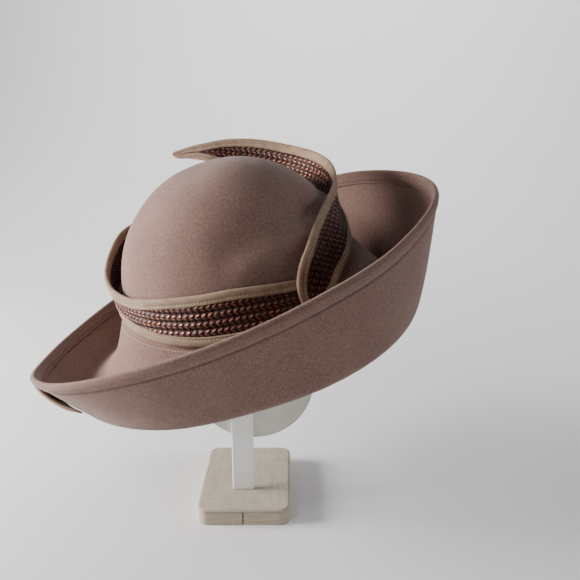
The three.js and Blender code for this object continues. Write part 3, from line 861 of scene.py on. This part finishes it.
core = Look("board inside the base", Roughness=0.95, Base_Color=rgb(70, 60, 50))
shape = bmesh.new()
core_x, core_y = half_x - CORE_SETBACK, half_y - CORE_SETBACK
rounded_block(shape, (-core_x, -core_y, 0.001), (core_x, core_y, BASE_HIGH - 0.002), BASE_CORNER,
              0.0005, 0.0005)
stand_piece("base_core", shape, core, "stand_base")


# Post and plate: a flat white post stands on the base, with a cream board with round ends fixed to its back.
# The board's upper end carries the crown from inside.
satin = Look("white satin post", Roughness=0.32, Specular_IOR_Level=0.5, Coat_Weight=0.15)
wear = satin.noise(satin.place(), 60, 4, 0.6)
satin.set(Base_Color=satin.mix(wear, rgb(236, 235, 233), rgb(243, 242, 241)))
satin.set(Roughness=0.26 + wear * 0.16)
low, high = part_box("stand_post")
shape = bmesh.new()
rounded_block(shape, low, high, 0.0009, 0.0004, 0.0004)
stand_piece("post", shape, satin, "stand_post")

cream = Look("cream board", Roughness=0.55)
place = cream.place()
stain = cream.noise(place, 35, 5, 0.6)
grain = cream.noise(place, 700, 3, 0.6)
cream.set(Base_Color=cream.mix(stain.smooth(0.3, 0.7), rgb(208, 206, 196), rgb(223, 221, 213)))
cream.set(Roughness=0.45 + grain * 0.2)
cream.set(Normal=cream.bump(grain, 0.0002, 0.4))
# Painted shade: the board's edge faces are painted darker than its face, for the shade that falls on its
# edge.
painted_shade_edge = Look("board edge with painted shade", Roughness=0.6)
edge_grain = painted_shade_edge.noise(painted_shade_edge.place(), 400, 3)
painted_shade_edge.set(Base_Color=painted_shade_edge.mix(edge_grain, rgb(120, 112, 97), rgb(140, 131, 114)))
low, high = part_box("stand_plate")
radius, middle_x = (high[0] - low[0]) / 2, (low[0] + high[0]) / 2
shape = bmesh.new()
for end, middle in ((1, high[2] - radius), (-1, low[2] + radius)):
    made = bmesh.ops.create_circle(shape, cap_ends=False, radius=radius, segments=96)["verts"]
    bmesh.ops.rotate(shape, verts=made, matrix=Matrix.Rotation(pi / 2, 3, "X"))
    bmesh.ops.translate(shape, verts=made, vec=(middle_x, low[1], middle))
    bmesh.ops.delete(shape, geom=[v for v in made if (v.co.z - middle) * end < -1e-5], context="VERTS")
ends = [v for v in shape.verts if len(v.link_edges) == 1]
for side in (-1, 1):
    shape.edges.new([v for v in ends if (v.co.x - middle_x) * side > 0])
bmesh.ops.contextual_create(shape, geom=list(shape.edges))
grown = bmesh.ops.extrude_face_region(shape, geom=list(shape.faces))["geom"]
back = [v for v in grown if isinstance(v, bmesh.types.BMVert)]
bmesh.ops.translate(shape, verts=back, vec=(0, high[1] - low[1], 0))
rim = [e for e in shape.edges if e.calc_face_angle(0) > 1]
bmesh.ops.bevel(shape, geom=rim, offset=0.0009, segments=2, profile=0.5, affect="EDGES", material=-1)
plate = stand_piece("plate", shape, cream, "stand_plate", smooth=False)
# The edge faces take the painted shade.
plate.data.materials.append(painted_shade_edge.material)
for face in plate.data.polygons:
    if abs(face.normal.y) < 0.95:
        face.material_index = 1
        face.use_smooth = True


# Floor and backdrop: one plain pale sheet that lies flat under the stand and curves up behind it.
# It only stages the picture and is no part of the hat or its stand.
shape = bmesh.new()
bmesh.ops.create_grid(shape, x_segments=1, y_segments=48, size=1)
for vert in shape.verts:
    reach = vert.co.y
    angle = min(max((reach - 0.2) / 0.5, 0), 1) * pi / 2
    behind = min(reach, 0.2) * 3 + 0.9 * sin(angle)
    vert.co = (vert.co.x * 4, behind + 0.2, 0.9 * (1 - cos(angle)) + max(reach - 0.7, 0) * 8)
floor_sheet = finish_piece("floor_sheet", shape)
paper = Look("pale backdrop", Roughness=0.9)
paper.set(Base_Color=paper.mix(paper.noise(paper.place(), 3, 3), rgb(222, 223, 224), rgb(228, 228, 228)))
floor_sheet.data.materials.append(paper.material)
